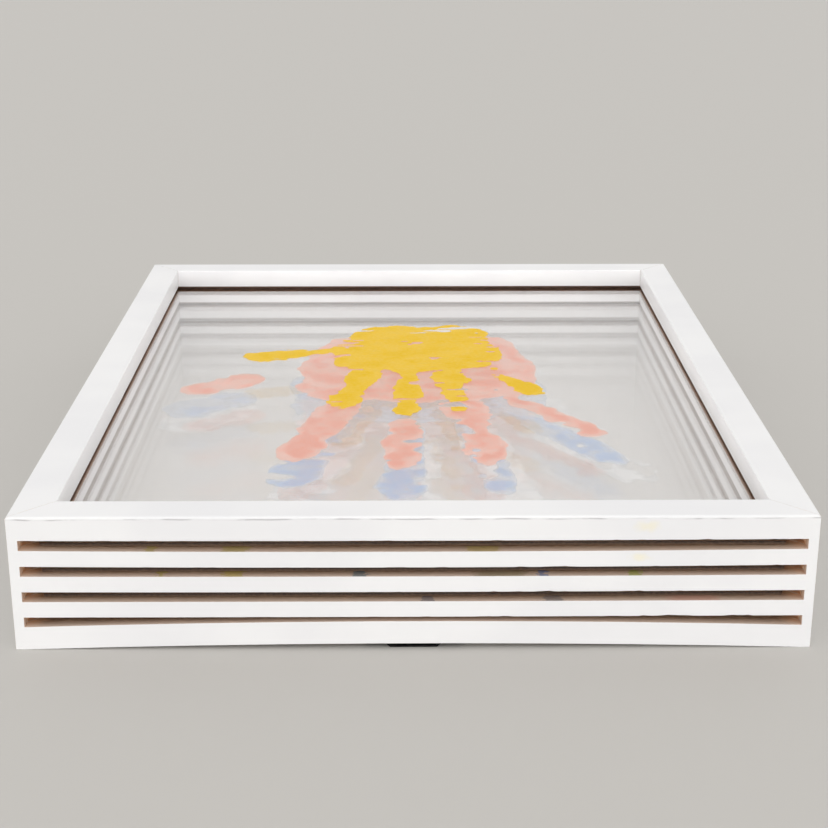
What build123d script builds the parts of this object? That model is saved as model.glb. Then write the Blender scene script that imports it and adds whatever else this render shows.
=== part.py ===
from build123d import *
import os

# Layered handprint frame: a mitred box frame, grooved inside, whose top rail is slotted right through
# so that four painted clear sheets slide in behind one another.
# It lies on its back. +Z is out of its face and the slotted top rail is at -Y, so left and right are
# as seen with the slots towards the viewer. The origin is on the table under the middle of the frame.
# All sizes are in millimetres.

# Frame moulding
FRAME_WIDTH = 240.0  # outside, along the slotted rail
FRAME_LENGTH = 305.0  # outside, the way the sheets slide
RAIL_WIDTH = 12.7  # face width of every rail
FACE_LIP = 7.5  # rail in front of the first groove
LAYER_BAR = 5.1  # rail between two grooves
BACK_BAR = 7.4  # rail behind the last groove
GROOVE_DEPTH = 5.0  # into the inner wall of a rail
OUTER_ARRIS = 0.8  # rounding of the face's outer edge
INNER_ARRIS = 0.4  # rounding of the face's inner edge
SLOT_END_WALL = 3.1  # left standing beyond each end of a slot

# Clear sheets and the paint on them
SHEET_THICKNESS = 1.0
SHEET_CORNER = 1.2  # rounding of a sheet's corners
SHEET_SIDE_GAP = 1.0  # to the bottom of a side groove
SHEET_END_GAP = 0.3  # to the bottom of the far groove
SHEET_RECESS = 3.0  # from the mouth of a slot to the edge of its sheet
SLIDE_CLEARANCE = 0.25  # above and below a sheet in the tightest slot
PAINT_FILM = 0.1
PAINT_BORDER = 2.0  # bare edge of a sheet

# Back panel and the flat points that hold it
PANEL_THICKNESS = 3.0
PANEL_RECESS = 1.2  # the back of the panel above the table
PANEL_GAP = 0.5  # to the walls of the rabbet
RABBET_WIDTH = 5.0
POINT_GAUGE = 0.4
POINT_WIDTH = 6.0
POINT_LAP = 8.0  # over the panel
POINT_DRIVEN = 5.0  # into the rail
POINT_END_SPACE = 45.0  # from a corner of the frame to the nearest point
POINTS_PER_STILE = 3
POINTS_ON_BOTTOM_RAIL = 2

# V-shaped nails pressed across each mitre from the back
V_NAIL_GAUGE = 0.5
V_NAIL_LEG = 4.0
V_NAIL_HEIGHT = 5.0
V_NAIL_SINK = 0.3  # above the back of the frame
V_NAIL_SETBACK = 2.2  # apex of the outer nail, in from both outer faces
V_NAIL_SPACING = 3.0  # from there to the apex of the inner one
V_NAILS_PER_CORNER = 2

# Sawtooth hanger nailed under the slotted rail
HANGER_LENGTH = 28.6
HANGER_DEPTH = 6.0
HANGER_GAUGE = 0.5
HANGER_STANDOFF = 1.1  # gap between the toothed bridge and the rail
HANGER_TAB = 6.0  # flat end that is nailed down
HANGER_RAMP = 1.2  # run of the step from a tab to the bridge
HANGER_SETBACK = 0.8  # from the outer face of the rail
TOOTH_PITCH = 2.0
TOOTH_DEPTH = 1.3
NAIL_RADIUS = 0.6
NAIL_HEAD_RADIUS = 1.2
NAIL_HEAD_HEIGHT = 0.4
NAIL_LENGTH = 4.5  # driven into the rail

# Handprints: length of each hand, from the far rail to its heel, from the frame's middle to its right,
# and the degrees that its thumb is turned from the middle finger
BABY_HAND = 113.0
BABY_HEEL_SPACE = 59.0
BABY_SHIFT = 3.0
BABY_THUMB_TURN = -76.0
CHILD_HAND = 162.0
CHILD_HEEL_SPACE = 46.0
CHILD_SHIFT = 3.0
CHILD_THUMB_TURN = -56.0
MOTHER_HAND = 174.0
MOTHER_HEEL_SPACE = 42.0
MOTHER_SHIFT = 4.0
MOTHER_THUMB_TURN = -54.0
FATHER_HAND = 188.0
FATHER_HEEL_SPACE = 34.0
FATHER_SHIFT = 9.0
FATHER_THUMB_TURN = -52.0
CREASE_WIDTH = 2.0  # across a finger, without paint

# Proportions of a left hand, as shares of its length, with its heel at the origin and its fingers along +Y
PALM_ROUNDS = (  # x, y, radius
    (-0.09, 0.165, 0.165),
    (0.11, 0.15, 0.15),
    (-0.215, 0.31, 0.085),
    (-0.19, 0.455, 0.10),
    (0.0, 0.48, 0.09),
    (0.19, 0.425, 0.10),
)
FINGERS = (  # degrees turned outwards, then knuckle x, knuckle y, length, radius at the knuckle, at the tip
    (-16.0, -0.175, 0.58, 0.365, 0.055, 0.047),
    (-1.0, -0.035, 0.59, 0.41, 0.057, 0.049),
    (9.0, 0.10, 0.575, 0.395, 0.055, 0.047),
    (32.0, 0.235, 0.535, 0.315, 0.048, 0.04),
)
THUMB = (-0.325, 0.33, 0.29, 0.064, 0.054)  # the same, without its turn
CREASE_SHARES = (0.40, 0.70)  # of a finger's length

# The layers from the face to the back: sheet, print, and the hand's sizes
BABY_SIZES = (BABY_HAND, BABY_HEEL_SPACE, BABY_SHIFT, BABY_THUMB_TURN)
CHILD_SIZES = (CHILD_HAND, CHILD_HEEL_SPACE, CHILD_SHIFT, CHILD_THUMB_TURN)
MOTHER_SIZES = (MOTHER_HAND, MOTHER_HEEL_SPACE, MOTHER_SHIFT, MOTHER_THUMB_TURN)
FATHER_SIZES = (FATHER_HAND, FATHER_HEEL_SPACE, FATHER_SHIFT, FATHER_THUMB_TURN)
LAYERS = (
    ("front_clear_sheet", "baby_handprint", BABY_SIZES),
    ("second_clear_sheet", "child_handprint", CHILD_SIZES),
    ("third_clear_sheet", "mother_handprint", MOTHER_SIZES),
    ("rear_clear_sheet", "father_handprint", FATHER_SIZES),
)

# Sizes that follow from those above
REAR_LAYER = len(LAYERS) - 1
HALF_WIDTH = FRAME_WIDTH / 2
HALF_LENGTH = FRAME_LENGTH / 2
GROOVE_WALL = RAIL_WIDTH - GROOVE_DEPTH
RABBET_WALL = RAIL_WIDTH - RABBET_WIDTH
RABBET_DEPTH = PANEL_RECESS + PANEL_THICKNESS
SLOT_HALF_LENGTH = HALF_WIDTH - SLOT_END_WALL
TOP_RAIL_INNER_Y = -HALF_LENGTH + RAIL_WIDTH
HANGER_HEIGHT = HANGER_STANDOFF + HANGER_GAUGE
HANGER_MIDDLE_Y = -HALF_LENGTH + HANGER_SETBACK + HANGER_DEPTH / 2
# The frame lies on its hanger, which springs the rear bar of the slotted rail up into an arc.
# The arc is as high as the hanger where it leaves the hanger's ends.
BAR_BOW = HANGER_HEIGHT / (1 - (HANGER_LENGTH / 2 / SLOT_HALF_LENGTH) ** 2)
SLOT_HEIGHT = SHEET_THICKNESS + PAINT_FILM + BAR_BOW + 2 * SLIDE_CLEARANCE
LAYER_PITCH = SLOT_HEIGHT + LAYER_BAR
FRAME_HEIGHT = FACE_LIP + SLOT_HEIGHT + REAR_LAYER * LAYER_PITCH + BACK_BAR
SHEET_HALF_WIDTH = HALF_WIDTH - GROOVE_WALL - SHEET_SIDE_GAP
SHEET_NEAR_Y = -HALF_LENGTH + SHEET_RECESS
SHEET_FAR_Y = HALF_LENGTH - GROOVE_WALL - SHEET_END_GAP

CORNER = (Align.MIN, Align.MIN)
FOOT = (Align.CENTER, Align.CENTER, Align.MIN)


def groove_floor(layer):
    """Height of the back wall of a layer's groove."""
    return FRAME_HEIGHT - FACE_LIP - SLOT_HEIGHT - layer * LAYER_PITCH


def sheet_bottom(layer):
    """Height of a sheet's underside: clear of its groove, or of the sprung bar in the rear one."""
    lift = BAR_BOW if layer == REAR_LAYER else 0.0
    return groove_floor(layer) + lift + SLIDE_CLEARANCE


def across_frame(y, z):
    """Plane facing -Y, with its x along the slotted rail and its y upwards."""
    return Plane(origin=(0, y, z), x_dir=(1, 0, 0), z_dir=(0, -1, 0))


def moulding_section():
    """Section of a rail: outer face at x = 0, inner wall at x = RAIL_WIDTH, back at y = 0."""
    section = Rectangle(RAIL_WIDTH, FRAME_HEIGHT, align=CORNER)
    inner, outer = Vector(RAIL_WIDTH, FRAME_HEIGHT), Vector(0, FRAME_HEIGHT)
    section = fillet(section.vertices().sort_by_distance(outer)[0], OUTER_ARRIS)
    section = fillet(section.vertices().sort_by_distance(inner)[0], INNER_ARRIS)
    for layer in range(len(LAYERS)):
        groove = Rectangle(GROOVE_DEPTH, SLOT_HEIGHT, align=CORNER)
        section -= Pos(GROOVE_WALL, groove_floor(layer)) * groove
    return section - Pos(RABBET_WALL, 0) * Rectangle(RABBET_WIDTH, RABBET_DEPTH, align=CORNER)


def mitred_plan(length):
    """The space between the mitres of a rail of that outside length, with its outer face at y = 0."""
    half = length / 2
    inner_half = half - RAIL_WIDTH
    outline = Polyline(
        (-half, 0), (half, 0), (inner_half, RAIL_WIDTH), (-inner_half, RAIL_WIDTH), close=True
    )
    return extrude(make_face(outline), FRAME_HEIGHT)


def mitred_rail(length):
    """A rail along X with its outer face at y = 0 and its back at z = 0."""
    along = Plane(origin=(-length / 2, 0, 0), x_dir=(0, 1, 0), z_dir=(1, 0, 0))
    return extrude(along * moulding_section(), length) & mitred_plan(length)


def sheet_slots():
    """The cuts that open each groove of the top rail to the outside, through the mitres at both ends."""
    middle_y = -HALF_LENGTH + RAIL_WIDTH / 2
    slot = Box(2 * SLOT_HALF_LENGTH, RAIL_WIDTH, SLOT_HEIGHT, align=FOOT)
    return [Pos(0, middle_y, groove_floor(layer)) * slot for layer in range(len(LAYERS))]


def bow(base_z, near_y):
    """The space from a chord across the slots up to the arc of the sprung bar, to the rail's inner wall."""
    left, right = (-SLOT_HALF_LENGTH, 0), (SLOT_HALF_LENGTH, 0)
    outline = Line(right, left) + ThreePointArc(left, (0, BAR_BOW), right)
    return extrude(across_frame(TOP_RAIL_INNER_Y, base_z) * make_face(outline), TOP_RAIL_INNER_Y - near_y)


def top_rail():
    """The slotted rail: a post at each end and the bars between the slots, kept as solids that touch.
    The rear bar is sprung up over the hanger."""
    place = Pos(0, -HALF_LENGTH, 0)
    rail = place * mitred_rail(FRAME_WIDTH)
    between_posts = Box(2 * SLOT_HALF_LENGTH, FRAME_LENGTH, FRAME_HEIGHT, align=FOOT)
    bars = (rail & between_posts) - sheet_slots()
    bars += bow(groove_floor(REAR_LAYER), -HALF_LENGTH) & (place * mitred_plan(FRAME_WIDTH))
    bars -= bow(RABBET_DEPTH, -HALF_LENGTH + RABBET_WALL)
    return [rail - between_posts, bars - bow(0, -HALF_LENGTH)]


def bottom_rail():
    return [Pos(0, HALF_LENGTH, 0) * Rot(0, 0, 180) * mitred_rail(FRAME_WIDTH)]


def stile(side):
    """A side rail, on the left for -1 and on the right for 1."""
    place = Pos(side * HALF_WIDTH, 0, 0) * Rot(0, 0, side * 90)
    return [place * mitred_rail(FRAME_LENGTH) - sheet_slots()]


def corner_v_nails():
    """Nails across the four mitres, each with one leg in either rail."""
    strip = Rectangle(V_NAIL_LEG, V_NAIL_GAUGE, align=CORNER)
    strip += Rectangle(V_NAIL_GAUGE, V_NAIL_LEG, align=CORNER)
    nail = extrude(strip, V_NAIL_HEIGHT)
    setbacks = [V_NAIL_SETBACK + i * V_NAIL_SPACING for i in range(V_NAILS_PER_CORNER)]
    corner = [Pos(-HALF_WIDTH + s, -HALF_LENGTH + s, V_NAIL_SINK) * nail for s in setbacks]
    near = corner + [nail.mirror(Plane.YZ) for nail in corner]
    return near + [nail.mirror(Plane.XZ) for nail in near]


def panel_point():
    """A point lying on the back of the panel, driven along -X into a rail whose wall is at x = 0."""
    half = POINT_WIDTH / 2
    outline = Polyline(
        (POINT_LAP, -half), (POINT_LAP, half), (0, half), (-POINT_DRIVEN, 0), (0, -half), close=True
    )
    return Pos(0, 0, PANEL_RECESS - POINT_GAUGE) * extrude(make_face(outline), POINT_GAUGE)


def point_places(half_length, count):
    """Even places along a rail, from one end space to the other."""
    first = half_length - POINT_END_SPACE
    return [first * (2 * i / (count - 1) - 1) for i in range(count)]


def panel_points():
    """Points along both stiles and the bottom rail. The slotted rail's sprung bar takes none."""
    wall_x = HALF_WIDTH - RABBET_WALL
    wall_y = HALF_LENGTH - RABBET_WALL
    left = [Pos(-wall_x, y, 0) * panel_point() for y in point_places(HALF_LENGTH, POINTS_PER_STILE)]
    right = [point.mirror(Plane.YZ) for point in left]
    into_bottom_rail = Rot(0, 0, -90) * panel_point()
    bottom = [Pos(x, wall_y, 0) * into_bottom_rail for x in point_places(HALF_WIDTH, POINTS_ON_BOTTOM_RAIL)]
    return left + right + bottom


def back_panel():
    width = 2 * (HALF_WIDTH - RABBET_WALL - PANEL_GAP)
    length = 2 * (HALF_LENGTH - RABBET_WALL - PANEL_GAP)
    return Pos(0, 0, PANEL_RECESS) * Box(width, length, PANEL_THICKNESS, align=FOOT)


def hanger_nail_places():
    x = HANGER_LENGTH / 2 - HANGER_TAB / 2
    return [(-x, HANGER_MIDDLE_Y), (x, HANGER_MIDDLE_Y)]


def hanger_profile():
    """Side view of the hanger: two tabs against the rail, and a bridge between them that stands off it."""
    half = HANGER_LENGTH / 2
    step = half - HANGER_TAB
    rail_side = [(-half, HANGER_HEIGHT), (-step, HANGER_HEIGHT), (HANGER_RAMP - step, HANGER_GAUGE)]
    wall_side = [(x, z - HANGER_GAUGE) for x, z in rail_side[::-1]]
    left = wall_side + rail_side
    return make_face(Polyline(left + [(-x, z) for x, z in left[::-1]], close=True))


def sawtooth_hanger():
    """A stepped strip with teeth along the bridge's edge towards the middle of the frame."""
    toothed_y = HANGER_MIDDLE_Y + HANGER_DEPTH / 2
    strip = extrude(across_frame(toothed_y, 0) * hanger_profile(), HANGER_DEPTH)
    bridge = HANGER_LENGTH - 2 * HANGER_TAB - 2 * HANGER_RAMP
    notches = int(bridge / TOOTH_PITCH)
    half = TOOTH_PITCH / 2
    notch = extrude(make_face(Polyline((-half, 0), (half, 0), (0, -TOOTH_DEPTH), close=True)), HANGER_GAUGE)
    strip -= [Pos((i - (notches - 1) / 2) * TOOTH_PITCH, toothed_y, 0) * notch for i in range(notches)]
    hole = Cylinder(NAIL_RADIUS, HANGER_HEIGHT, align=FOOT)
    return strip - [Pos(x, y, 0) * hole for x, y in hanger_nail_places()]


def hanger_nails():
    """Round nails through the hanger's tabs into the rear bar of the slotted rail."""
    nail = Cylinder(NAIL_RADIUS, HANGER_GAUGE + NAIL_LENGTH, align=FOOT)
    nail += Pos(0, 0, -NAIL_HEAD_HEIGHT) * Cylinder(NAIL_HEAD_RADIUS, NAIL_HEAD_HEIGHT, align=FOOT)
    return [Pos(x, y, HANGER_STANDOFF) * nail for x, y in hanger_nail_places()]


def sheet_outline(border):
    """Outline of a sheet, drawn in by a border."""
    width = 2 * (SHEET_HALF_WIDTH - border)
    length = SHEET_FAR_Y - SHEET_NEAR_Y - 2 * border
    return Pos(0, (SHEET_NEAR_Y + SHEET_FAR_Y) / 2) * RectangleRounded(width, length, SHEET_CORNER)


def clear_sheet(layer):
    return Pos(0, 0, sheet_bottom(layer)) * extrude(sheet_outline(0), SHEET_THICKNESS)


def palm(hand):
    """Outline of the palm of a hand of that length."""
    rounds = [Pos(hand * x, hand * y) * Circle(hand * radius) for x, y, radius in PALM_ROUNDS]
    return make_hull([edge for circle in rounds for edge in circle.edges()])


def finger(hand, turn, *shares):
    """Outline of a tapered finger of a hand of that length, without its creases."""
    x, y, length, knuckle_radius, tip_radius = [hand * share for share in shares]
    knuckle = Pos(0, knuckle_radius) * Circle(knuckle_radius)
    tip = Pos(0, length - tip_radius) * Circle(tip_radius)
    pads = make_hull(knuckle.edges() + tip.edges())
    crease = Rectangle(2 * knuckle_radius, CREASE_WIDTH)
    pads -= [Pos(0, share * length) * crease for share in CREASE_SHARES]
    return Pos(x, y) * Rot(0, 0, -turn) * pads


def handprint(layer, hand, heel_space, shift, thumb_turn):
    """The paint on a sheet: a palm and five fingers that point at the slots, within the sheet's border."""
    fingers = [*FINGERS, (thumb_turn, *THUMB)]
    outline = palm(hand) + [finger(hand, *sizes) for sizes in fingers]
    heel = Pos(shift, HALF_LENGTH - RAIL_WIDTH - heel_space)
    film = heel * outline.mirror(Plane.XZ) & sheet_outline(PAINT_BORDER)
    return Pos(0, 0, sheet_bottom(layer) + SHEET_THICKNESS) * extrude(film, PAINT_FILM)


def build():
    """The solids of every node, by its name."""
    fixings = {
        "corner_v_nails": corner_v_nails(),
        "panel_points": panel_points(),
        "hanger_nails": hanger_nails(),
    }
    driven = [fixing for group in fixings.values() for fixing in group]
    rails = {
        "top_rail": top_rail(),
        "bottom_rail": bottom_rail(),
        "left_stile": stile(-1),
        "right_stile": stile(1),
    }
    nodes = {name: [shape - driven for shape in shapes] for name, shapes in rails.items()}
    nodes |= fixings
    nodes["back_panel"] = [back_panel()]
    nodes["sawtooth_hanger"] = [sawtooth_hanger()]
    for layer, (sheet, print_name, hand_sizes) in enumerate(LAYERS):
        nodes[sheet] = [clear_sheet(layer)]
        nodes[print_name] = [handprint(layer, *hand_sizes)]
    return {name: [solid for shape in shapes for solid in shape.solids()] for name, shapes in nodes.items()}


def main():
    os.makedirs("parts", exist_ok=True)
    for name, solids in build().items():
        export_step(Compound(children=solids), f"parts/{name}.step")
    print(f"frame {FRAME_WIDTH} x {FRAME_LENGTH} x {FRAME_HEIGHT:.2f}")
    print(f"slot height {SLOT_HEIGHT:.2f}, bar bow {BAR_BOW:.2f}")


main()
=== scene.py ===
from math import cos, radians, sin

import bmesh
import bpy
import numpy as np
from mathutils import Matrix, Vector


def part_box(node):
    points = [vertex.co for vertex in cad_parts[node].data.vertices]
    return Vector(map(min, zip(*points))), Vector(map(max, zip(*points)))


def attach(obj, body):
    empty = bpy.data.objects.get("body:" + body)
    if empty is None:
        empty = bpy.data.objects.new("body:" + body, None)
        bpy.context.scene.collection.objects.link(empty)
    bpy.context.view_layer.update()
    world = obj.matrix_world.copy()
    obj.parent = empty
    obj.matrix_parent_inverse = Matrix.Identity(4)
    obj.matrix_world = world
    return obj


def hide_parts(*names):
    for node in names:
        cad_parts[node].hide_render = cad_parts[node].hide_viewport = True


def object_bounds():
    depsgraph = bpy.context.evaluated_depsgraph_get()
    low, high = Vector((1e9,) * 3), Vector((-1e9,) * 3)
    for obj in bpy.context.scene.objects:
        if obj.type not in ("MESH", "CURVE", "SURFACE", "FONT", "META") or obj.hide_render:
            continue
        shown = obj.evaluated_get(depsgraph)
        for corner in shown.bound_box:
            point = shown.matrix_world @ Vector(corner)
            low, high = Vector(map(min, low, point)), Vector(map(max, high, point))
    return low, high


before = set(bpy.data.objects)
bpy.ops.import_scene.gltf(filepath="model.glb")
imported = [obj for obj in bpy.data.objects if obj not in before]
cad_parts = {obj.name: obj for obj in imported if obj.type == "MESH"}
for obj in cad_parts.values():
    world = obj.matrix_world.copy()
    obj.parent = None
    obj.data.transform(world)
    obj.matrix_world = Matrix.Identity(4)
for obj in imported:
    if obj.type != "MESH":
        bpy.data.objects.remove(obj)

cad_low, cad_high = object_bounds()

# Lengths here are in millimetres and are turned into metres where a mesh or a node needs them.
MM = 0.001

# Camera, from a perspective fit of the frame's corners in the photograph
CAMERA_PLACE = (-2.92, -591.87, 228.93)
CAMERA_DOWN_DEGREES = 19.308
CAMERA_YAW_DEGREES = 0.396
CAMERA_LENS = 70.51
CAMERA_SENSOR = 36.0
CAMERA_NEAREST = 10.0

# Light: a smooth sky, even all round, stronger from the slotted side and a little from the left and right.
# Seen directly, in gloss or through the sheets it is never brighter than white.
LIGHT_EVEN = 0.81
LIGHT_SLOPE = 0.085
LIGHT_FRONT = 1.05
LIGHT_SIDES = 0.36
LIGHT_COLOUR = (1.0, 0.99, 0.975, 1.0)

# Floor
FLOOR_COLOUR = (0.54, 0.525, 0.50, 1.0)
FLOOR_HALF_SIZE = 60000.0
FLOOR_DROP = 0.05

# Frame as the CAD has it
FRAME_HEIGHT = cad_high.z / MM
HALF_WIDTH = cad_high.x / MM
HALF_LENGTH = cad_high.y / MM
SHEET_NODES = ("front_clear_sheet", "second_clear_sheet", "third_clear_sheet", "rear_clear_sheet")
SLIDE_CLEARANCE = 0.25
LAYER_BAR = 5.1
RAIL_WIDTH = 12.7
SLOT_END = 116.9
TOP_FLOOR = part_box(SHEET_NODES[0])[0].z / MM - SLIDE_CLEARANCE
LAYER_PITCH = TOP_FLOOR - (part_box(SHEET_NODES[1])[0].z / MM - SLIDE_CLEARANCE)
SLOT_HEIGHT = LAYER_PITCH - LAYER_BAR
SLOT_FLOORS = [TOP_FLOOR - layer * LAYER_PITCH for layer in range(len(SHEET_NODES))]

# Points of a mesh closer than WELD are one, and a point closer than NEAR to a plane lies in it. FLUSH is the
# same, more strictly, for the sides of a rail and the ends of its slots.
WELD = 0.001
NEAR = 0.02
FLUSH = 0.01

# A face is upright where its normal rises less than this, and level where it rises more.
UPRIGHT = 0.5

# Parts of a normal: a mitre's differ by less than the first, and the others mark faces that look straight
# backwards and straight to a side.
MITRE_SKEW = 0.05
BACKWARDS = -0.9
SIDEWAYS = 0.99

# Faces that meet at less than the first angle are one face, and at more than the others a sharp edge.
FLAT_DEGREES = 0.05
RAIL_CREASE_DEGREES = 25
PAINT_CREASE_DEGREES = 50

# Noise in a node tree lies almost wholly between these.
NOISE_LOW = 0.3
NOISE_HIGH = 0.7


def linear(red, green, blue):
    """Colour for a shader from sRGB values of 0 to 255."""
    def channel(value):
        share = value / 255
        return share / 12.92 if share <= 0.04045 else ((share + 0.055) / 1.055) ** 2.4
    return (channel(red), channel(green), channel(blue), 1.0)


class Shader:
    """The node tree of a material or a sky, with short calls that add nodes and join them."""

    def __init__(self, owner):
        self.owner = owner
        owner.use_nodes = True
        self.tree = owner.node_tree
        self.tree.nodes.clear()
        self.coordinates = self.add("ShaderNodeTexCoord").outputs

    def add(self, kind, settings=None, **inputs):
        node = self.tree.nodes.new(kind)
        for name, value in (settings or {}).items():
            setattr(node, name, value)
        for name, value in inputs.items():
            self.put(node.inputs[name.replace("_", " ")], value)
        return node

    def put(self, socket, value):
        if isinstance(value, bpy.types.NodeSocket):
            self.tree.links.new(value, socket)
        else:
            socket.default_value = value

    def split(self, vector):
        return self.add("ShaderNodeSeparateXYZ", Vector=vector).outputs

    def math(self, operation, *values):
        node = self.add("ShaderNodeMath", {"operation": operation})
        for socket, value in zip(node.inputs, values):
            self.put(socket, value)
        return node.outputs[0]

    def axes(self):
        """Object coordinates in millimetres."""
        place = self.split(self.coordinates["Object"])
        return [self.math("DIVIDE", place[axis], MM) for axis in "XYZ"]

    def facing(self):
        """Parts of the surface's own normal."""
        return self.split(self.add("ShaderNodeNewGeometry").outputs["True Normal"])

    def attribute(self, name):
        return self.add("ShaderNodeAttribute", {"attribute_name": name}).outputs["Fac"]

    def noise(self, size, detail=3.0, stretch=(1, 1, 1)):
        """Noise from 0 to 1 with features of that size in millimetres."""
        scale = [1 / (size * MM * s) for s in stretch]
        mapping = self.add("ShaderNodeMapping", Vector=self.coordinates["Object"], Scale=scale)
        texture = self.add("ShaderNodeTexNoise", Vector=mapping.outputs[0], Scale=1.0, Detail=detail)
        return texture.outputs[0]

    def ramp(self, value, low, high, out_low=0.0, out_high=1.0):
        """A smooth step from one value to the other between low and high."""
        node = self.add("ShaderNodeMapRange", {"interpolation_type": "SMOOTHSTEP"})
        for socket, number in zip(node.inputs, (value, low, high, out_low, out_high)):
            self.put(socket, number)
        return node.outputs[0]

    def spread(self, noise, out_low=0.0, out_high=1.0):
        """Noise drawn out over the whole range between two values."""
        return self.ramp(noise, NOISE_LOW, NOISE_HIGH, out_low, out_high)

    def wander(self, value, noise, reach):
        """The value moved to and fro by the noise."""
        return self.math("ADD", value, self.spread(noise, -reach, reach))

    def band(self, value, centre, width):
        """One in a band about the centre, falling to zero at half its width."""
        distance = self.math("ABSOLUTE", self.math("SUBTRACT", value, centre))
        return self.ramp(distance, width / 4, width / 2, 1.0, 0.0)

    def product(self, *values):
        result = values[0]
        for value in values[1:]:
            result = self.math("MULTIPLY", result, value)
        return result

    def mix(self, share, first, second):
        node = self.add("ShaderNodeMix", {"data_type": "RGBA"})
        colours = [socket for socket in node.inputs if socket.type == "RGBA"]
        self.put(node.inputs[0], share)
        self.put(colours[0], first)
        self.put(colours[1], second)
        return next(socket for socket in node.outputs if socket.type == "RGBA")

    def bump(self, height, distance, strength):
        node = self.add("ShaderNodeBump", Height=height, Distance=distance * MM, Strength=strength)
        return node.outputs[0]

    def finish(self, **inputs):
        surface = self.add("ShaderNodeBsdfPrincipled")
        for name, value in inputs.items():
            self.put(surface.inputs[name.replace("_", " ")], value)
        output = self.add("ShaderNodeOutputMaterial")
        self.tree.links.new(surface.outputs[0], output.inputs["Surface"])
        return self.owner


def new_shader(name):
    return Shader(bpy.data.materials.new(name))


def from_side(shader, x):
    """Distance in from the left or right of the frame."""
    return shader.math("SUBTRACT", HALF_WIDTH, shader.math("ABSOLUTE", x))


def from_end(shader, y):
    """Distance in from the slotted end of the frame or the far one."""
    return shader.math("SUBTRACT", HALF_LENGTH, shader.math("ABSOLUTE", y))


def from_outside(shader, x, y):
    """Distance in from the nearest outer face of the frame."""
    return shader.math("MINIMUM", from_side(shader, x), from_end(shader, y))


# White foil on the rails
FOIL_WHITE = linear(241, 241, 242)
FOIL_SHADE = linear(236, 236, 238)
FOIL_GRAIN_SHARE = 0.12

# The seam near the rails' upper outer edge, within its reach of their outer faces
SEAM_GREY = linear(196, 194, 197)
SEAM_DROP = 0.85
SEAM_WIDTH = 0.56
SEAM_WANDER = 0.12
SEAM_REACH = 0.9

# Paint rubbed off on the slotted face: x, z, half width, half height
FACE_SMEARS = (
    (69.3, 39.6, 4.0, 2.4),
    (67.0, 29.9, 3.6, 1.6),
)
SMEAR_YELLOW = linear(246, 232, 168)
SMEAR_SHARE = 0.3
SMEAR_RAGGED = 0.3
SMEAR_FADE = 1.2
FACE_SKIN = 0.1


def rub_off(shader, colour, x, y, z):
    """Faint smears of paint on the slotted face."""
    outer = shader.math("LESS_THAN", y, FACE_SKIN - HALF_LENGTH)
    patches = shader.noise(size=4, detail=2.0)
    for smear_x, smear_z, half_width, half_height in FACE_SMEARS:
        across = shader.math("DIVIDE", shader.math("SUBTRACT", x, smear_x), half_width)
        along = shader.math("DIVIDE", shader.math("SUBTRACT", z, smear_z), half_height)
        squares = shader.math("ADD", shader.product(across, across), shader.product(along, along))
        reach = shader.wander(shader.math("SQRT", squares), patches, SMEAR_RAGGED)
        share = shader.ramp(reach, SMEAR_FADE, 0.0, 0.0, SMEAR_SHARE)
        colour = shader.mix(shader.product(outer, share), colour, SMEAR_YELLOW)
    return colour


def foil_seam(shader, colour, x, y, z):
    """The broken line where the foil of the face meets that of the sides."""
    outer = shader.math("LESS_THAN", from_outside(shader, x, y), SEAM_REACH)
    upright = shader.math("LESS_THAN", shader.math("ABSOLUTE", shader.facing()["Z"]), UPRIGHT)
    height = shader.wander(z, shader.noise(size=12, detail=2.0), SEAM_WANDER)
    line = shader.band(height, FRAME_HEIGHT - SEAM_DROP, SEAM_WIDTH)
    broken = shader.ramp(shader.noise(size=9, stretch=(1, 1, 0.3)), 0.42, 0.62, 0.15, 1.0)
    return shader.mix(shader.product(outer, upright, broken, line), colour, SEAM_GREY)


def white_foil():
    shader = new_shader("white_foil")
    x, y, z = shader.axes()
    tone = shader.ramp(shader.noise(size=45, detail=2.0), 0.35, 0.65)
    colour = shader.mix(tone, FOIL_SHADE, FOIL_WHITE)
    colour = rub_off(shader, colour, x, y, z)
    colour = foil_seam(shader, colour, x, y, z)
    waves = shader.noise(size=7, detail=1.0)
    grain = shader.product(shader.noise(size=0.5, detail=2.0), FOIL_GRAIN_SHARE)
    return shader.finish(
        Base_Color=colour,
        Roughness=shader.spread(shader.noise(size=6), 0.36, 0.46),
        Normal=shader.bump(shader.math("ADD", waves, grain), distance=0.06, strength=0.35),
    )


# Bare fibreboard
BOARD_DARK = linear(150, 120, 95)
BOARD_LIGHT = linear(186, 156, 130)
BOARD_CLOUD = linear(160, 128, 100)
FIBRE = 0.5
FIBRE_STRETCH = 5

# Painted light along the mouths of the slots and at their ends, where light from the front falls in
SLOT_MOUTH_LIGHT = linear(224, 206, 192)
SLOT_MOUTH_LIGHT_REACH = 4.5
SLOT_END_LIGHT = linear(226, 184, 146)
SLOT_END_REACH = 7.0
SLOT_END_FULL = 1.0
MOUTH_SHARE = 0.8

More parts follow.
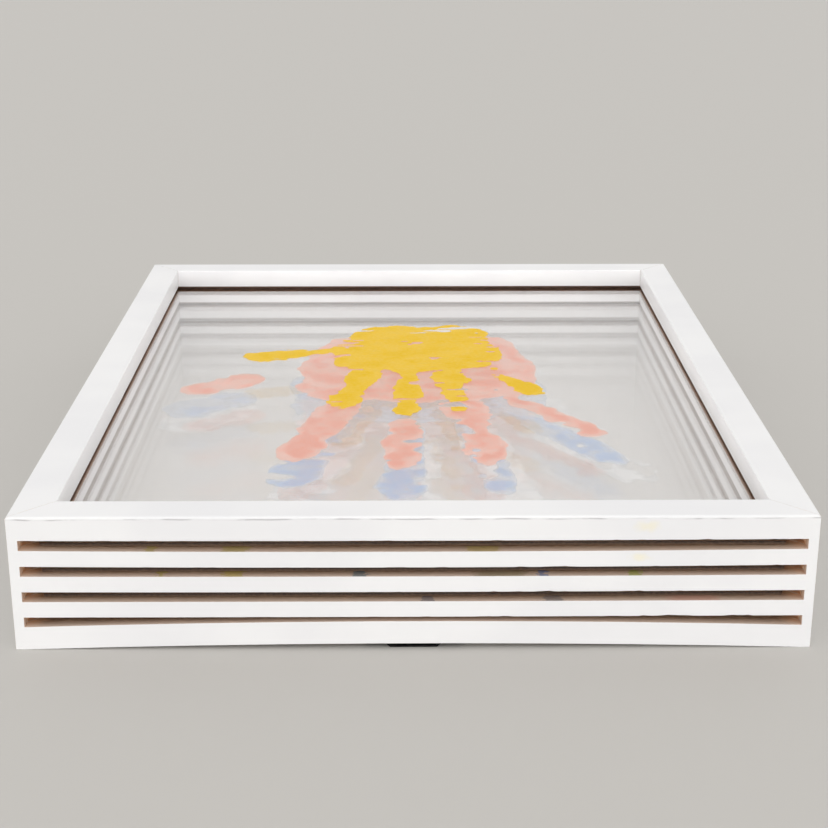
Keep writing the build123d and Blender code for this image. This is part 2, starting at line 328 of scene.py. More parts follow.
# Paint left in the slots: layer, x, half width, colour
SLOT_TINTS = (
    (0, -77.8, 1.8, linear(176, 160, 84)),
    (0, -53.0, 4.0, linear(176, 160, 84)),
    (0, 20.5, 5.0, linear(176, 156, 80)),
    (1, -75.4, 1.2, linear(186, 170, 80)),
    (1, -54.0, 3.0, linear(190, 172, 76)),
    (1, -16.0, 2.2, linear(70, 110, 124)),
    (1, 26.0, 8.0, linear(140, 128, 92)),
    (1, 38.5, 1.2, linear(72, 112, 170)),
    (1, 66.0, 2.0, linear(160, 172, 60)),
    (2, 4.5, 1.6, linear(110, 112, 122)),
    (2, 42.0, 3.0, linear(112, 112, 118)),
    (2, 84.0, 8.0, linear(206, 158, 142)),
)
SLOT_TINT_REACH = 4.0
SLOT_TINT_FADE = 2.5
SLOT_TINT_RAGGED = 1.0
SLOT_TINT_SHARE = 0.65

# Grooves around the sheets, with painted shade in them and painted light on their floors and on the first
# one's lip
FIRST_GROOVE_SHADE = linear(114, 86, 72)
SHADED_LOWER_GROOVES = linear(188, 183, 180)
LIT_LOWER_FLOORS = linear(230, 227, 225)
LIT_GROOVE_LIP = linear(228, 204, 188)
LIT_GROOVE_LIP_WIDTH = 0.4
GROOVE_SHARE = 0.85
FIRST_GROOVE_ROOM = 1.0

# Glue in the mitres
GLUE = linear(214, 198, 180)
GLUE_WIDTH = 1.2
GLUE_WANDER = 0.3

# Foil turned over the back
FOIL_LAP = 3.0
FOIL_LAP_WANDER = 0.5
FOIL_LAP_EDGE = 0.1


def inner_grooves(shader, colour, x, y, z):
    """The grooves around the sheets: painted shade in the first one, with a painted lit lip along its floor,
    and greyer ones behind it with painted light on their floors.
    """
    inner = shader.math("GREATER_THAN", y, RAIL_WIDTH - HALF_LENGTH)
    # Painted shade in the first groove; painted light on faces that look up and on the first one's lip.
    first = shader.math("GREATER_THAN", z, SLOT_FLOORS[0] - FIRST_GROOVE_ROOM)
    floor = shader.math("GREATER_THAN", shader.facing()["Z"], UPRIGHT)
    lip_end = RAIL_WIDTH - LIT_GROOVE_LIP_WIDTH
    lit_lip = shader.ramp(from_outside(shader, x, y), lip_end - LIT_GROOVE_LIP_WIDTH, lip_end)
    first_tone = shader.mix(shader.product(floor, lit_lip), FIRST_GROOVE_SHADE, LIT_GROOVE_LIP)
    lower_tone = shader.mix(floor, SHADED_LOWER_GROOVES, LIT_LOWER_FLOORS)
    tone = shader.mix(first, lower_tone, first_tone)
    return shader.mix(shader.product(inner, GROOVE_SHARE), colour, tone)


def light_slot_mouths(shader, colour, x, y):
    """Painted light: a pale band along the mouths of the slots, and a tan patch at their ends."""
    outwards = shader.math("ABSOLUTE", x)
    # Painted light on the ends of the slots.
    end = shader.ramp(outwards, SLOT_END - SLOT_END_REACH, SLOT_END - SLOT_END_FULL, 0.0, MOUTH_SHARE)
    slotted_side = shader.math("LESS_THAN", y, 0.0)
    colour = shader.mix(shader.product(slotted_side, end), colour, SLOT_END_LIGHT)
    # Painted light along the mouths of the slots.
    mouth_light = shader.ramp(y, SLOT_MOUTH_LIGHT_REACH - HALF_LENGTH, -HALF_LENGTH, 0.0, MOUTH_SHARE)
    return shader.mix(mouth_light, colour, SLOT_MOUTH_LIGHT)


def slot_tints(shader, colour, x, y, z):
    """Paint that wet sheets left near the mouths of the slots."""
    mouth = shader.math("LESS_THAN", y, SLOT_TINT_REACH - HALF_LENGTH)
    ragged = shader.wander(x, shader.noise(size=1.5), SLOT_TINT_RAGGED)
    for layer, tint_x, half_width, tint in SLOT_TINTS:
        height = shader.band(z, SLOT_FLOORS[layer], 2 * SLOT_HEIGHT)
        along = shader.band(ragged, tint_x, SLOT_TINT_FADE * half_width)
        colour = shader.mix(shader.product(mouth, height, along, SLOT_TINT_SHARE), colour, tint)
    return colour


def mitre_glue(shader, colour, x, y):
    """The pale line of glue where a mitre crosses a slot or a groove."""
    off_mitre = shader.math("SUBTRACT", from_side(shader, x), from_end(shader, y))
    ragged = shader.wander(off_mitre, shader.noise(size=3, detail=2.0), GLUE_WANDER)
    line = shader.band(ragged, 0.0, GLUE_WIDTH)
    broken = shader.ramp(shader.noise(size=2), 0.4, 0.6)
    return shader.mix(shader.product(line, broken), colour, GLUE)


def raw_fibreboard():
    shader = new_shader("raw_fibreboard")
    x, y, z = shader.axes()
    fibres = shader.noise(FIBRE, detail=4.0, stretch=(FIBRE_STRETCH, 1, 1))
    clouds = shader.ramp(shader.noise(size=9, detail=2.0), 0.4, 0.7, 0.0, 0.4)
    colour = shader.mix(shader.spread(fibres), BOARD_DARK, BOARD_LIGHT)
    colour = shader.mix(clouds, colour, BOARD_CLOUD)
    colour = inner_grooves(shader, colour, x, y, z)
    colour = light_slot_mouths(shader, colour, x, y)
    colour = slot_tints(shader, colour, x, y, z)
    colour = mitre_glue(shader, colour, x, y)
    return shader.finish(
        Base_Color=colour,
        Roughness=0.85,
        Normal=shader.bump(fibres, distance=0.08, strength=0.6),
    )


def lapped_foil(shader, colour, x, y):
    """The edge of the foil, turned a little way over the back."""
    inwards = shader.wander(from_outside(shader, x, y), shader.noise(size=14), FOIL_LAP_WANDER)
    back = shader.math("LESS_THAN", shader.facing()["Z"], -UPRIGHT)
    lap = shader.ramp(inwards, FOIL_LAP, FOIL_LAP - FOIL_LAP_EDGE)
    return shader.mix(shader.product(back, lap), colour, FOIL_SHADE)


def raw_back():
    """Fibreboard of the rails' back, with the foil lapped over its outer edge."""
    shader = new_shader("raw_back")
    x, y, _ = shader.axes()
    fibres = shader.noise(FIBRE, detail=4.0, stretch=(FIBRE_STRETCH, FIBRE_STRETCH, 1))
    colour = shader.mix(shader.spread(fibres), BOARD_DARK, BOARD_LIGHT)
    return shader.finish(
        Base_Color=lapped_foil(shader, colour, x, y),
        Roughness=0.8,
        Normal=shader.bump(fibres, distance=0.05, strength=0.5),
    )


# Back panel
PANEL_BROWN_DARK = linear(96, 68, 46)
PANEL_BROWN_LIGHT = linear(152, 116, 82)
PANEL_WHITE_DULL = linear(229, 224, 219)
PANEL_WHITE = linear(237, 233, 229)
SCREEN_WAVES = 4.0
SCREEN_SHARE = 0.35


def panel_board():
    """Hardboard, white on the side that faces the sheets and screen-marked brown on the back."""
    shader = new_shader("panel_board")
    x, y, _ = shader.axes()
    face = shader.math("GREATER_THAN", shader.facing()["Z"], UPRIGHT)
    screen = shader.product(*(shader.math("SINE", shader.product(axis, SCREEN_WAVES)) for axis in (x, y)))
    fibres = shader.noise(size=1.2, detail=4.0, stretch=(2, 1, 1))
    weave = shader.math("ADD", fibres, shader.product(screen, SCREEN_SHARE))
    brown = shader.mix(shader.ramp(weave, 0.1, 0.9), PANEL_BROWN_DARK, PANEL_BROWN_LIGHT)
    white = shader.mix(shader.noise(size=30), PANEL_WHITE_DULL, PANEL_WHITE)
    relief = shader.product(weave, shader.ramp(face, 0, 1, 1.0, 0.05))
    return shader.finish(
        Base_Color=shader.mix(face, brown, white),
        Roughness=shader.ramp(face, 0, 1, 0.75, 0.4),
        Normal=shader.bump(relief, distance=0.08, strength=0.6),
    )


# Acrylic sheets
ACRYLIC_IOR = 1.49
# Painted brown of the sawn edges: lit below, as painted light, and dark above, as painted shade
EDGE_LIT_BELOW = linear(126, 100, 82)
EDGE_SHADED_ABOVE = linear(66, 52, 42)
EDGE_WANDER = 0.15


def clear_acrylic():
    shader = new_shader("clear_acrylic")
    return shader.finish(
        Base_Color=(1.0, 1.0, 1.0, 1.0),
        Roughness=0.0,
        IOR=ACRYLIC_IOR,
        Transmission_Weight=1.0,
    )


def sawn_edge():
    """Sawn acrylic, painted brown: lighter towards its lower edge as painted light, and dark towards its
    upper one as painted shade.
    """
    shader = new_shader("sawn_edge")
    marks = shader.noise(size=0.9, stretch=(1, 1, 3))
    up = shader.split(shader.coordinates["Generated"])["Z"]
    upper_shade = shader.ramp(shader.wander(up, marks, EDGE_WANDER), 0.0, 1.0)
    return shader.finish(
        Base_Color=shader.mix(upper_shade, EDGE_LIT_BELOW, EDGE_SHADED_ABOVE),
        Roughness=shader.spread(marks, 0.4, 0.6),
        Normal=shader.bump(marks, distance=0.03, strength=0.5),
        IOR=ACRYLIC_IOR,
        Transmission_Weight=0.35,
    )


# Share of the light for the layers below that a film of paint lets through
PAINT_PASSES = 0.88


def paint(handprint):
    """Paint, paler where its film is thin. Most of the light for the layers below comes through it."""
    shader = new_shader(handprint["slot"])
    mottle = shader.ramp(shader.noise(size=9, detail=4.0), 0.35, 0.65, -0.25, 0.25)
    depth = shader.math("ADD", shader.attribute("film"), mottle)
    streaks = shader.noise(size=1.6)
    bounced = shader.add("ShaderNodeLightPath").outputs["Diffuse Depth"]
    cover = shader.ramp(depth, 0.0, 0.8, handprint["cover"], 1.0)
    return shader.finish(
        Base_Color=shader.mix(shader.ramp(depth, 0.15, 0.95), handprint["thin"], handprint["thick"]),
        Alpha=shader.product(cover, shader.ramp(bounced, 0, 1, 1.0, 1 - PAINT_PASSES)),
        Roughness=shader.spread(streaks, 0.45, 0.65),
        Specular_IOR_Level=0.25,
        Normal=shader.bump(streaks, distance=0.08, strength=0.5),
    )


# Metal of the small parts
ZINC_DARK = linear(184, 186, 190)
ZINC_LIGHT = linear(206, 207, 210)
HANGER_DARK = linear(40, 40, 42)
HANGER_LIGHT = linear(58, 57, 58)


def metal(name, dark, light, roughness):
    shader = new_shader(name)
    scratches = shader.noise(size=0.4, stretch=(5, 1, 1))
    stains = shader.noise(size=3, detail=2.0)
    return shader.finish(
        Base_Color=shader.mix(shader.spread(stains), dark, light),
        Metallic=1.0,
        Roughness=shader.spread(scratches, roughness, roughness + 0.15),
        Normal=shader.bump(scratches, distance=0.01, strength=0.4),
    )


def put_material(node, material):
    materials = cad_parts[node].data.materials
    materials.clear()
    materials.append(material)


def cad_copy(node, name, materials):
    """Copy of a CAD node's mesh with these materials, and a bmesh of it with shared points joined."""
    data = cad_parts[node].data.copy()
    data.name = name
    data.materials.clear()
    for material in materials:
        data.materials.append(material)
    mesh = bmesh.new()
    mesh.from_mesh(data)
    bmesh.ops.remove_doubles(mesh, verts=mesh.verts, dist=WELD * MM)
    return data, mesh


def new_piece(name, mesh, body, slot, *nodes):
    """Object that rides a body and stands in for these CAD nodes."""
    piece = bpy.data.objects.new(name, mesh)
    bpy.context.scene.collection.objects.link(piece)
    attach(piece, body)
    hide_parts(*nodes)
    return piece


# Side of the table of random values behind the noise
LATTICE = 64


def lattice_noise(x, y, seed):
    """Smooth seeded noise from -1 to 1 with features about one unit wide."""
    table = np.random.default_rng(seed).uniform(-1, 1, (LATTICE, LATTICE))
    column = np.floor(x).astype(int)
    row = np.floor(y).astype(int)
    u = x - column
    v = y - row
    u = u * u * (3 - 2 * u)
    v = v * v * (3 - 2 * v)

    def corner(right, up):
        return table[(column + right) % LATTICE, (row + up) % LATTICE]

    low = corner(0, 0) * (1 - u) + corner(1, 0) * u
    high = corner(0, 1) * (1 - u) + corner(1, 1) * u
    return low * (1 - v) + high * v


# Order of the materials on a rail
FOIL_SLOT, BOARD_SLOT, BACK_SLOT = range(3)

# Finish of the rails
RAIL_STATION = 1.5
MITRE_HAIRLINE = 0.05
BAR_SAGS = (0.25, 0.55, 0.25, 0.12)

# Chips in the foil along the slots: deepest, part of the noise that leaves the foil whole, and wear, which
# grows with x from its least share to one
CHIP_DEPTH = 0.5
CHIP_WHOLE = 0.25
WEAR_LEAST = 0.25
WEAR_FROM = -20
WEAR_OVER = 80

# Noise of the chips: length, step from slot to slot, seed, share
CHIP_NOISES = (
    (4.0, 7.3, 11, 0.8),
    (1.3, 5.1, 12, 0.35),
)


def outer_distances(point):
    """How far a point of a mesh lies in from the nearer side and from the nearer end of the frame."""
    return HALF_WIDTH - abs(point.x) / MM, HALF_LENGTH - abs(point.y) / MM


def open_hairlines(mesh, along):
    """Draw the mitred ends back a little, so that each mitre shows as a hairline."""
    for vertex in mesh.verts:
        side, end = outer_distances(vertex.co)
        if abs(side - end) < NEAR:
            place = vertex.co[along]
            vertex.co[along] = place - MITRE_HAIRLINE * MM * (1 if place > 0 else -1)


def slot_of(z):
    """Number of the slot that a height in millimetres lies in, or None in a bar."""
    for layer, floor in enumerate(SLOT_FLOORS):
        if floor - NEAR <= z <= floor + SLOT_HEIGHT + NEAR:
            return layer
    return None


def is_raw(face):
    """True for the sawn faces of slots, grooves and mitres."""
    centre = face.calc_center_median()
    inwards = min(outer_distances(centre))
    if inwards < FLUSH or inwards > RAIL_WIDTH - FLUSH:
        return False
    diagonal = abs(abs(face.normal.x) - abs(face.normal.y)) < MITRE_SKEW
    mitre = diagonal and abs(face.normal.z) < MITRE_SKEW
    return mitre or slot_of(centre.z / MM) is not None


def is_back(face):
    """True for the faces behind the last groove that look backwards."""
    return face.normal.z < BACKWARDS and face.calc_center_median().z / MM < SLOT_FLOORS[-1]


def material_slot(face):
    if is_back(face):
        return BACK_SLOT
    return BOARD_SLOT if is_raw(face) else FOIL_SLOT


def cut_across(mesh, place, facing):
    everything = mesh.verts[:] + mesh.edges[:] + mesh.faces[:]
    bmesh.ops.bisect_plane(mesh, geom=everything, dist=WELD * MM, plane_co=place, plane_no=facing)


def joins_post(face):
    """True where a bar and a post of the slotted rail touch."""
    centre = face.calc_center_median() / MM
    at_post = abs(face.normal.x) > SIDEWAYS and abs(abs(centre.x) - SLOT_END) < NEAR
    return at_post and slot_of(centre.z) is None


def join_bars(mesh):
    """Make one moulding of the slotted rail's posts and bars by taking out the faces where they touch."""
    for floor in SLOT_FLOORS:
        for height in (floor, floor + SLOT_HEIGHT):
            cut_across(mesh, (0, 0, height * MM), (0, 0, 1))
    touching = [face for face in mesh.faces if joins_post(face)]
    bmesh.ops.delete(mesh, geom=touching, context="FACES")
    bmesh.ops.remove_doubles(mesh, verts=mesh.verts, dist=WELD * MM)


def cut_stations(mesh):
    """Cut the rail across every station, so that its edges can bend and wear."""
    for station in np.arange(-HALF_WIDTH + RAIL_STATION, HALF_WIDTH, RAIL_STATION):
        cut_across(mesh, (station * MM, 0, 0), (1, 0, 0))


def sag(x, layer):
    """Drop of the bar above a slot, in millimetres, nothing at the slot's ends."""
    return BAR_SAGS[layer] * max(0.0, 1 - (x / SLOT_END) ** 2)


def chip(x, layer):
    """How far the torn foil has gone from the upper edge of a slot, in millimetres."""
    wear = WEAR_LEAST + (1 - WEAR_LEAST) * min(1.0, max(0.0, (x - WEAR_FROM) / WEAR_OVER))
    torn = -CHIP_WHOLE
    for length, step, seed, share in CHIP_NOISES:
        torn += share * float(lattice_noise(np.array(x / length), np.array(layer * step), seed))
    return CHIP_DEPTH * wear * max(0.0, torn)


def wear_slots(mesh):
    """Let the bars sag between the corners and chip the foil along the slots' upper edges."""
    for vertex in mesh.verts:
        x, y, z = vertex.co / MM
        if abs(x) > SLOT_END - FLUSH:
            continue
        for layer, floor in enumerate(SLOT_FLOORS):
            ceiling = floor + SLOT_HEIGHT
            at_ceiling = abs(z - ceiling) < NEAR
            if at_ceiling or (layer > 0 and ceiling < z < SLOT_FLOORS[layer - 1] + NEAR):
                vertex.co.z -= sag(x, layer) * MM
            if at_ceiling and y < NEAR - HALF_LENGTH:
                vertex.co.z += chip(x, layer) * MM


def dress_rail(node, along, *materials):
    """The rail with its foil, its sawn slots and grooves, and its worn edges."""
    name = f"{node}_dressed"
    slotted = node == "top_rail"
    data, mesh = cad_copy(node, name, materials)
    if slotted:
        join_bars(mesh)
    bmesh.ops.dissolve_limit(mesh, angle_limit=radians(FLAT_DEGREES), verts=mesh.verts, edges=mesh.edges)
    if slotted:
        cut_stations(mesh)
    for face in mesh.faces:
        face.material_index = material_slot(face)
        face.smooth = True
    if slotted:
        wear_slots(mesh)
    open_hairlines(mesh, along)
    mesh.to_mesh(data)
    mesh.free()
    data.set_sharp_from_angle(angle=radians(RAIL_CREASE_DEGREES))
    rail = new_piece(name, data, "frame", "white_foil", node)
    normals = rail.modifiers.new("even_normals", "WEIGHTED_NORMAL")
    normals.keep_sharp = True
    return rail


def dress_sheet(node, body, *materials):
    """The sheet with polished faces and sawn edges."""
    name = f"{node}_cut"
    data, mesh = cad_copy(node, name, materials)
    for face in mesh.faces:
        sawn = abs(face.normal.z) < UPRIGHT
        face.material_index = 1 if sawn else 0
        face.smooth = False
    mesh.to_mesh(data)
    mesh.free()
    return new_piece(name, data, body, "clear_acrylic", node)


# Hand shape as shares of its length, with its heel at the origin: palm pads as x, y, half width, half height
PALM_PADS = (
    (-0.09, 0.17, 0.17, 0.17),
    (0.11, 0.155, 0.155, 0.155),
    (-0.19, 0.31, 0.115, 0.13),
    (0.165, 0.32, 0.13, 0.16),
    (-0.18, 0.45, 0.12, 0.11),
    (-0.03, 0.475, 0.12, 0.10),
    (0.09, 0.465, 0.11, 0.10),
    (0.19, 0.425, 0.10, 0.10),
    (0.0, 0.30, 0.20, 0.20),
)

# Fingers from the first to the little one, then the thumb: knuckle x and y, length, radius there and at tip
FINGERS = (
    (-0.175, 0.58, 0.365, 0.055, 0.047),
    (-0.035, 0.59, 0.41, 0.057, 0.049),
    (0.10, 0.575, 0.395, 0.055, 0.047),
    (0.235, 0.535, 0.315, 0.048, 0.040),
    (-0.325, 0.33, 0.29, 0.064, 0.054),
)

# The three pads of a finger, as shares of its length
FIRST_PAD = 0.14
PAD_STEP = 0.345
PAD_HALF_LENGTH = 0.23

# How far the joins of palm pads, finger pads and fingers are rounded
PALM_BLEND = 0.03
PAD_BLEND = 0.035
FINGER_BLEND = 0.012

# Bare streaks: how far in from its edge a print has more of them, how many more, and the size and share of
# the fine ones
STREAK_EDGE = 0.06
STREAK_EDGE_DRY = 0.3
STREAK_FINE = 0.4
STREAK_FINE_SHARE = 0.4

# Ragged outline: size, depth, step from the print's seed
RAGGED_NOISES = (
    (0.07, 0.008, 0),
    (0.028, 0.007, 1),
    (0.013, 0.004, 4),
)

# Film of paint: how soon it is full from its edge, size and share of its blobs, and where the tips begin
FILM_RISE = 0.02
FILM_BLOB = 0.03
FILM_BLOB_SHARE = 0.25
TIPS_FROM = 0.5
TIPS_OVER = 0.2

# Film in millimetres: gap to the sheet, least and greatest thickness, grid, and margin around the CAD print
PAINT_LIFT = 0.015
PAINT_EDGE = 0.02
PAINT_DEPTH = 0.075
PAINT_GRID = 0.6
PAINT_MARGIN = 8.4

# The film's outline keeps this share of a grid step off the points of the grid.
CROSSING_ROOM = 0.02

# The four prints. Each finger has its turn in degrees and three pads from the knuckle out, with how full
# each one printed: one is its whole width, nothing where the finger did not touch. Dry parts have bare
# streaks, with streak as their length and width. rough is how ragged the outline is, cover how much the
# thinnest film hides, and palm_film how thick the film of the palm is beside that of the tips.
PRINTS = (
    {
        "node": "baby_handprint",
        "body": "front_sheet",
        "slot": "yellow_paint",
        "thin": linear(239, 198, 62),
        "thick": linear(233, 190, 14),
        "cover": 0.9,
        "seed": 21,
        "rough": 1.3,
        "streak": (0.13, 0.035),
        "palm_dry": 0.42,
        "palm_film": 0.8,
        "turns": (-13, -1, 5, 30, -76),
        "pads": ((1.15, 0.8, 1.1), (0.6, 0.85, 0.75), (1.15, 0.75, 0.6), (0.0, 0.6, 1.3), (0.35, 0.95, 1.1)),
        "finger_dry": (0.15, 0.3, 0.35, 0.1, 0.35),
        "drops": ((0.27, 0.54, 0.018), (0.17, 0.66, 0.02)),
    },
    {
        "node": "child_handprint",
        "body": "second_sheet",
        "slot": "coral_paint",
        "thin": linear(246, 190, 172),
        "thick": linear(242, 152, 124),
        "cover": 0.75,
        "seed": 31,
        "rough": 1.0,
        "streak": (0.08, 0.06),
        "palm_dry": 0.15,
        "palm_film": 0.7,
        "turns": (-16, -1, 8, 31, -56),
        "pads": ((0.95, 0.95, 1.0), (0.0, 0.8, 0.85), (1.0, 0.75, 0.95), (0.8, 0.65, 0.85), (0.0, 0.8, 0.85)),
        "finger_dry": (0.1, 0.15, 0.4, 0.55, 0.0),
        "drops": ((0.31, 0.66, 0.012), (0.10, 0.80, 0.010)),
    },
    {
        "node": "mother_handprint",
        "body": "third_sheet",
        "slot": "blue_paint",
        "thin": linear(204, 214, 230),
        "thick": linear(160, 190, 234),
        "cover": 0.35,
        "seed": 41,
        "rough": 0.8,
        "streak": (0.06, 0.06),
        "palm_dry": 0.4,
        "palm_film": 0.3,
        "turns": (-16, -1, 9, 32, -54),
        "pads": ((0.6, 0.8, 1.2), (0.7, 0.8, 1.1), (0.6, 0.7, 0.9), (0.8, 0.9, 1.05), (0.0, 1.0, 1.1)),
        "finger_dry": (0.3, 0.2, 0.5, 0.3, 0.1),
        "drops": (),
    },
    {
        "node": "father_handprint",
        "body": "rear_sheet",
        "slot": "white_paint",
        "thin": linear(236, 236, 236),
        "thick": linear(254, 254, 254),
        "cover": 0.6,
        "seed": 51,
        "rough": 1.0,
        "streak": (0.06, 0.06),
        "palm_dry": 0.7,
        "palm_film": 0.4,
        "turns": (-16, -1, 9, 32, -52),
        "pads": ((0.9, 0.9, 1.2), (0.9, 0.9, 1.2), (0.9, 0.9, 1.2), (0.9, 1.0, 1.5), (0.0, 0.8, 1.2)),
        "finger_dry": (0.45, 0.5, 0.4, 0.15, 0.1),
        "drops": (),
    },
)


def smooth_union(first, second, reach):
    """Larger of two fields, with the join rounded over the reach."""
    share = np.clip(0.5 + 0.5 * (first - second) / reach, 0, 1)
    return second + (first - second) * share + reach * share * (1 - share)


def ellipse_field(x, y, half_width, half_height):
    """Rough distance inside an ellipse about the origin."""
    return (1 - np.hypot(x / half_width, y / half_height)) * min(half_width, half_height)


def finger_field(x, y, finger, fullness):
    """Pads of a finger, drawn in at the creases, each as full as the hand pressed it."""
    turn, knuckle_x, knuckle_y, length, knuckle_radius, tip_radius = finger
    angle = radians(turn)
    along = (x - knuckle_x) * sin(angle) + (y - knuckle_y) * cos(angle)
    across = (x - knuckle_x) * cos(angle) - (y - knuckle_y) * sin(angle)
    field = np.full_like(x, -1.0)
    for pad, full in enumerate(fullness):
        if full == 0:
            continue
        middle = length * (FIRST_PAD + PAD_STEP * pad)
        radius = knuckle_radius + (tip_radius - knuckle_radius) * pad / 2
        pad_field = ellipse_field(across, along - middle, full * radius, PAD_HALF_LENGTH * length)
        field = smooth_union(field, pad_field, PAD_BLEND)
    return field


def tip_left(finger):
    """Furthest left that the tip of a finger reaches."""
    turn, knuckle_x, _, length, _, tip_radius = finger
    return knuckle_x + (length - tip_radius) * sin(radians(turn)) - tip_radius


def hand_fingers(handprint):
    return [(turn, *finger) for turn, finger in zip(handprint["turns"], FINGERS)]


def bare_streaks(x, y, handprint):
    """Noise from -1 to 1, drawn out the way that the hand slid."""
    length, width = handprint["streak"]
    coarse = lattice_noise(x / length, y / width, handprint["seed"] + 2)
    fine = lattice_noise(x / length / STREAK_FINE, y / width / STREAK_FINE, handprint["seed"] + 3)
    return (1 - STREAK_FINE_SHARE) * coarse + STREAK_FINE_SHARE * fine


def press(field, streaks, dry):
    """A field without its bare streaks, of which there are more towards its edge."""
    edge = np.clip(1 - field / STREAK_EDGE, 0, 1)
    return np.minimum(field, STREAK_EDGE * (streaks + 1 - dry - STREAK_EDGE_DRY * edge))


def hand_field(x, y, handprint):
    """Positive where the hand leaves paint, as a share of its length."""
    streaks = bare_streaks(x, y, handprint)
    field = np.full_like(x, -1.0)
    for pad_x, pad_y, half_width, half_height in PALM_PADS:
        field = smooth_union(field, ellipse_field(x - pad_x, y - pad_y, half_width, half_height), PALM_BLEND)
    field = press(field, streaks, handprint["palm_dry"])
    for finger, fullness, dry in zip(hand_fingers(handprint), handprint["pads"], handprint["finger_dry"]):
        pressed = press(finger_field(x, y, finger, fullness), streaks, dry)
        field = smooth_union(field, pressed, FINGER_BLEND)
    for drop_x, drop_y, radius in handprint["drops"]:
        field = np.maximum(field, ellipse_field(x - drop_x, y - drop_y, radius, radius))
    for size, depth, step in RAGGED_NOISES:
        ragged = lattice_noise(x / size, y / size, handprint["seed"] + step)
        field = field + handprint["rough"] * depth * ragged
    return field


def film_height(x, y, field, handprint):
    """Share of the full film: it rises from its edge, varies in blobs and is thickest at the fingertips."""
    rise = np.clip(field / FILM_RISE, 0, 1) ** 0.5
    blobs = lattice_noise(x / FILM_BLOB, y / FILM_BLOB, handprint["seed"] + 5)
    towards_tips = np.clip((y - TIPS_FROM) / TIPS_OVER, 0, 1)
    load = handprint["palm_film"] + (1 - handprint["palm_film"]) * towards_tips
    return rise * (1 - FILM_BLOB_SHARE + FILM_BLOB_SHARE * blobs) * load


class Film:
    """The part of a grid where a field is positive, as numbered points, faces and a rim."""

    def __init__(self, xs, ys, field, height):
        self.xs = xs
        self.ys = ys
        self.field = field
        self.height = height
        self.inside = field > 0
        self.points = []
        self.numbers = {}

    def number(self, key, x, y, height):
        """Number of the point with this key, which is added when it is new."""
        if key not in self.numbers:
            self.numbers[key] = len(self.points)
            self.points.append((x, y, height))
        return self.numbers[key]

    def grid_point(self, i, j):
        return self.number((i, j), self.xs[i], self.ys[j], float(self.height[i, j]))

    def crossing(self, first, second):
        """Point between two points of the grid where the outline crosses."""
        a = self.field[first]
        b = self.field[second]
        share = min(max(a / (a - b), CROSSING_ROOM), 1 - CROSSING_ROOM)
        x = self.xs[first[0]] + share * (self.xs[second[0]] - self.xs[first[0]])
        y = self.ys[first[1]] + share * (self.ys[second[1]] - self.ys[first[1]])
        return self.number(tuple(sorted((first, second))), x, y, 0.0)

    def cell_face(self, corners):
        """Points around the part of a cell that has paint."""
        face = []
        for corner, following in zip(corners, corners[1:] + corners[:1]):
            if self.inside[corner]:
                face.append(self.grid_point(*corner))
            if self.inside[corner] != self.inside[following]:
                face.append(self.crossing(corner, following))
        return face

    def cell_rims(self, corners):
        """Pairs of points between which the outline runs through a cell."""
        rims = []
        for k, corner in enumerate(corners):
            before = corners[k - 1]
            if self.inside[before] and not self.inside[corner]:
                last = k
                while not self.inside[corners[(last + 1) % 4]]:
                    last += 1
                entering = self.crossing(corners[last % 4], corners[(last + 1) % 4])
                rims.append((self.crossing(before, corner), entering))
        return rims

    def faces_and_rims(self):
        faces = []
        rims = []
        for i in range(len(self.xs) - 1):
            for j in range(len(self.ys) - 1):
                corners = [(i, j), (i + 1, j), (i + 1, j + 1), (i, j + 1)]
                if any(self.inside[corner] for corner in corners):
                    faces.append(self.cell_face(corners))
                    rims += self.cell_rims(corners)
        return faces, rims


def film_mesh(name, film, base):
    """Closed mesh of a film: its top, an underside just above the base, and walls along the rim."""
    tops, rims = film.faces_and_rims()
    count = len(film.points)
    under = base + PAINT_LIFT
    rise = PAINT_DEPTH - PAINT_EDGE
    places = [(x, y, under + PAINT_EDGE + rise * height) for x, y, height in film.points]
    places += [(x, y, under) for x, y, _ in film.points]
    undersides = [[count + n for n in reversed(top)] for top in tops]
    walls = [[second, first, count + first, count + second] for first, second in rims]
    mesh = bpy.data.meshes.new(name)
    mesh.from_pydata([(x * MM, y * MM, z * MM) for x, y, z in places], [], tops + undersides + walls)
    heights = [height for _, _, height in film.points]
    mesh.attributes.new("film", "FLOAT", "POINT").data.foreach_set("value", heights + heights)
    for polygon in mesh.polygons:
        polygon.use_smooth = True
    mesh.set_sharp_from_angle(angle=radians(PAINT_CREASE_DEGREES))
    return mesh


def print_piece(handprint, material):
    """A hand's film of paint, in the place and at the size of its CAD node."""
    node = handprint["node"]
    name = f"{node}_film"
    low, high = (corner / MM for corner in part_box(node))
    xs = np.arange(low.x - PAINT_MARGIN, high.x + PAINT_MARGIN, PAINT_GRID)
    ys = np.arange(low.y - PAINT_MARGIN, high.y + PAINT_MARGIN, PAINT_GRID)
    length = high.y - low.y
    heel_x = low.x - length * min(tip_left(finger) for finger in hand_fingers(handprint))
    grid_x, grid_y = np.meshgrid(xs, ys, indexing="ij")
    x = (grid_x - heel_x) / length
    y = (high.y - grid_y) / length
    field = hand_field(x, y, handprint)
    film = Film(xs, ys, field, film_height(x, y, field, handprint))
    mesh = film_mesh(name, film, low.z)
    mesh.materials.append(material)
    return new_piece(name, mesh, handprint["body"], handprint["slot"], node)


def make_camera():
    data = bpy.data.cameras.new("camera")
    data.lens = CAMERA_LENS
    data.sensor_width = CAMERA_SENSOR
    data.clip_start = CAMERA_NEAREST * MM
    camera = bpy.data.objects.new("camera", data)
    camera.location = Vector(CAMERA_PLACE) * MM
    camera.rotation_euler = (radians(90 - CAMERA_DOWN_DEGREES), 0, radians(-CAMERA_YAW_DEGREES))
    bpy.context.scene.collection.objects.link(camera)
    bpy.context.scene.camera = camera


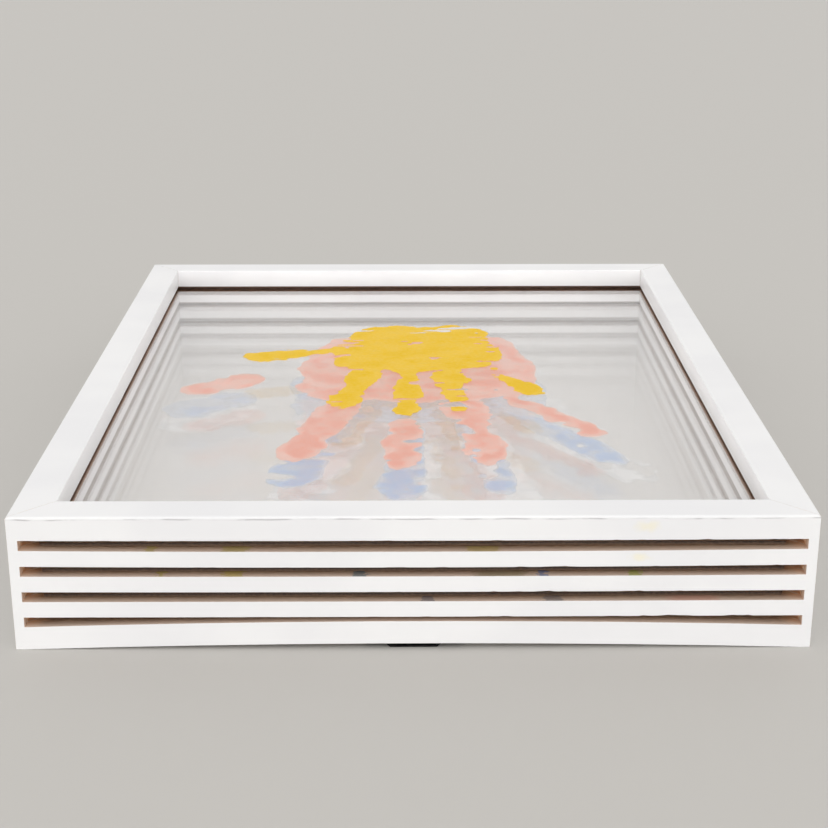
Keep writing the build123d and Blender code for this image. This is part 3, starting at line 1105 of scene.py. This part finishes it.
def make_floor():
    half = FLOOR_HALF_SIZE * MM
    mesh = bpy.data.meshes.new("floor")
    corners = [(-half, -half, 0), (half, -half, 0), (half, half, 0), (-half, half, 0)]
    mesh.from_pydata(corners, [], [(0, 1, 2, 3)])
    mesh.materials.append(new_shader("floor").finish(Base_Color=FLOOR_COLOUR, Roughness=0.6))
    floor = bpy.data.objects.new("floor", mesh)
    floor.location.z = -FLOOR_DROP * MM
    bpy.context.scene.collection.objects.link(floor)


def make_light():
    world = bpy.data.worlds.new("sky")
    sky = Shader(world)
    direction = sky.split(sky.coordinates["Generated"])
    sides = sky.product(direction["X"], direction["X"], LIGHT_SIDES)
    forwards = sky.product(direction["Y"], -1.0)
    front = sky.math("MAXIMUM", forwards, 0.0)
    slope = sky.math("MULTIPLY_ADD", forwards, LIGHT_SLOPE, LIGHT_EVEN)
    light = sky.math("ADD", sky.math("ADD", slope, sides), sky.product(front, front, LIGHT_FRONT))
    bounced = sky.math("GREATER_THAN", sky.add("ShaderNodeLightPath").outputs["Diffuse Depth"], 0.5)
    seen = sky.math("MINIMUM", light, 1.0)
    level = sky.math("ADD", seen, sky.product(bounced, sky.math("SUBTRACT", light, seen)))
    background = sky.add("ShaderNodeBackground", Color=LIGHT_COLOUR, Strength=level)
    sky.add("ShaderNodeOutputWorld", Surface=background.outputs[0])
    world.cycles.sampling_method = "NONE"
    bpy.context.scene.world = world


def set_render():
    """Let light pass through the stack of sheets and back without being cut off or blurred."""
    scene = bpy.context.scene
    scene.view_settings.view_transform = "Standard"
    scene.cycles.max_bounces = 48
    scene.cycles.transmission_bounces = 48
    scene.cycles.glossy_bounces = 32
    scene.cycles.transparent_max_bounces = 32
    scene.cycles.diffuse_bounces = 16
    scene.cycles.blur_glossy = 0.0


make_camera()
make_floor()
make_light()
set_render()

foil = white_foil()
board = raw_fibreboard()
back = raw_back()
for node, along in (("top_rail", 0), ("bottom_rail", 0), ("left_stile", 1), ("right_stile", 1)):
    dress_rail(node, along, foil, board, back)

put_material("back_panel", panel_board())
clear = clear_acrylic()
sawn = sawn_edge()
for node in SHEET_NODES:
    dress_sheet(node, node.replace("_clear_sheet", "_sheet"), clear, sawn)

for handprint in PRINTS:
    print_piece(handprint, paint(handprint))

zinc = metal("zinc", ZINC_DARK, ZINC_LIGHT, roughness=0.3)
for node in ("corner_v_nails", "panel_points", "hanger_nails"):
    put_material(node, zinc)
put_material("sawtooth_hanger", metal("hanger_black", HANGER_DARK, HANGER_LIGHT, roughness=0.4))
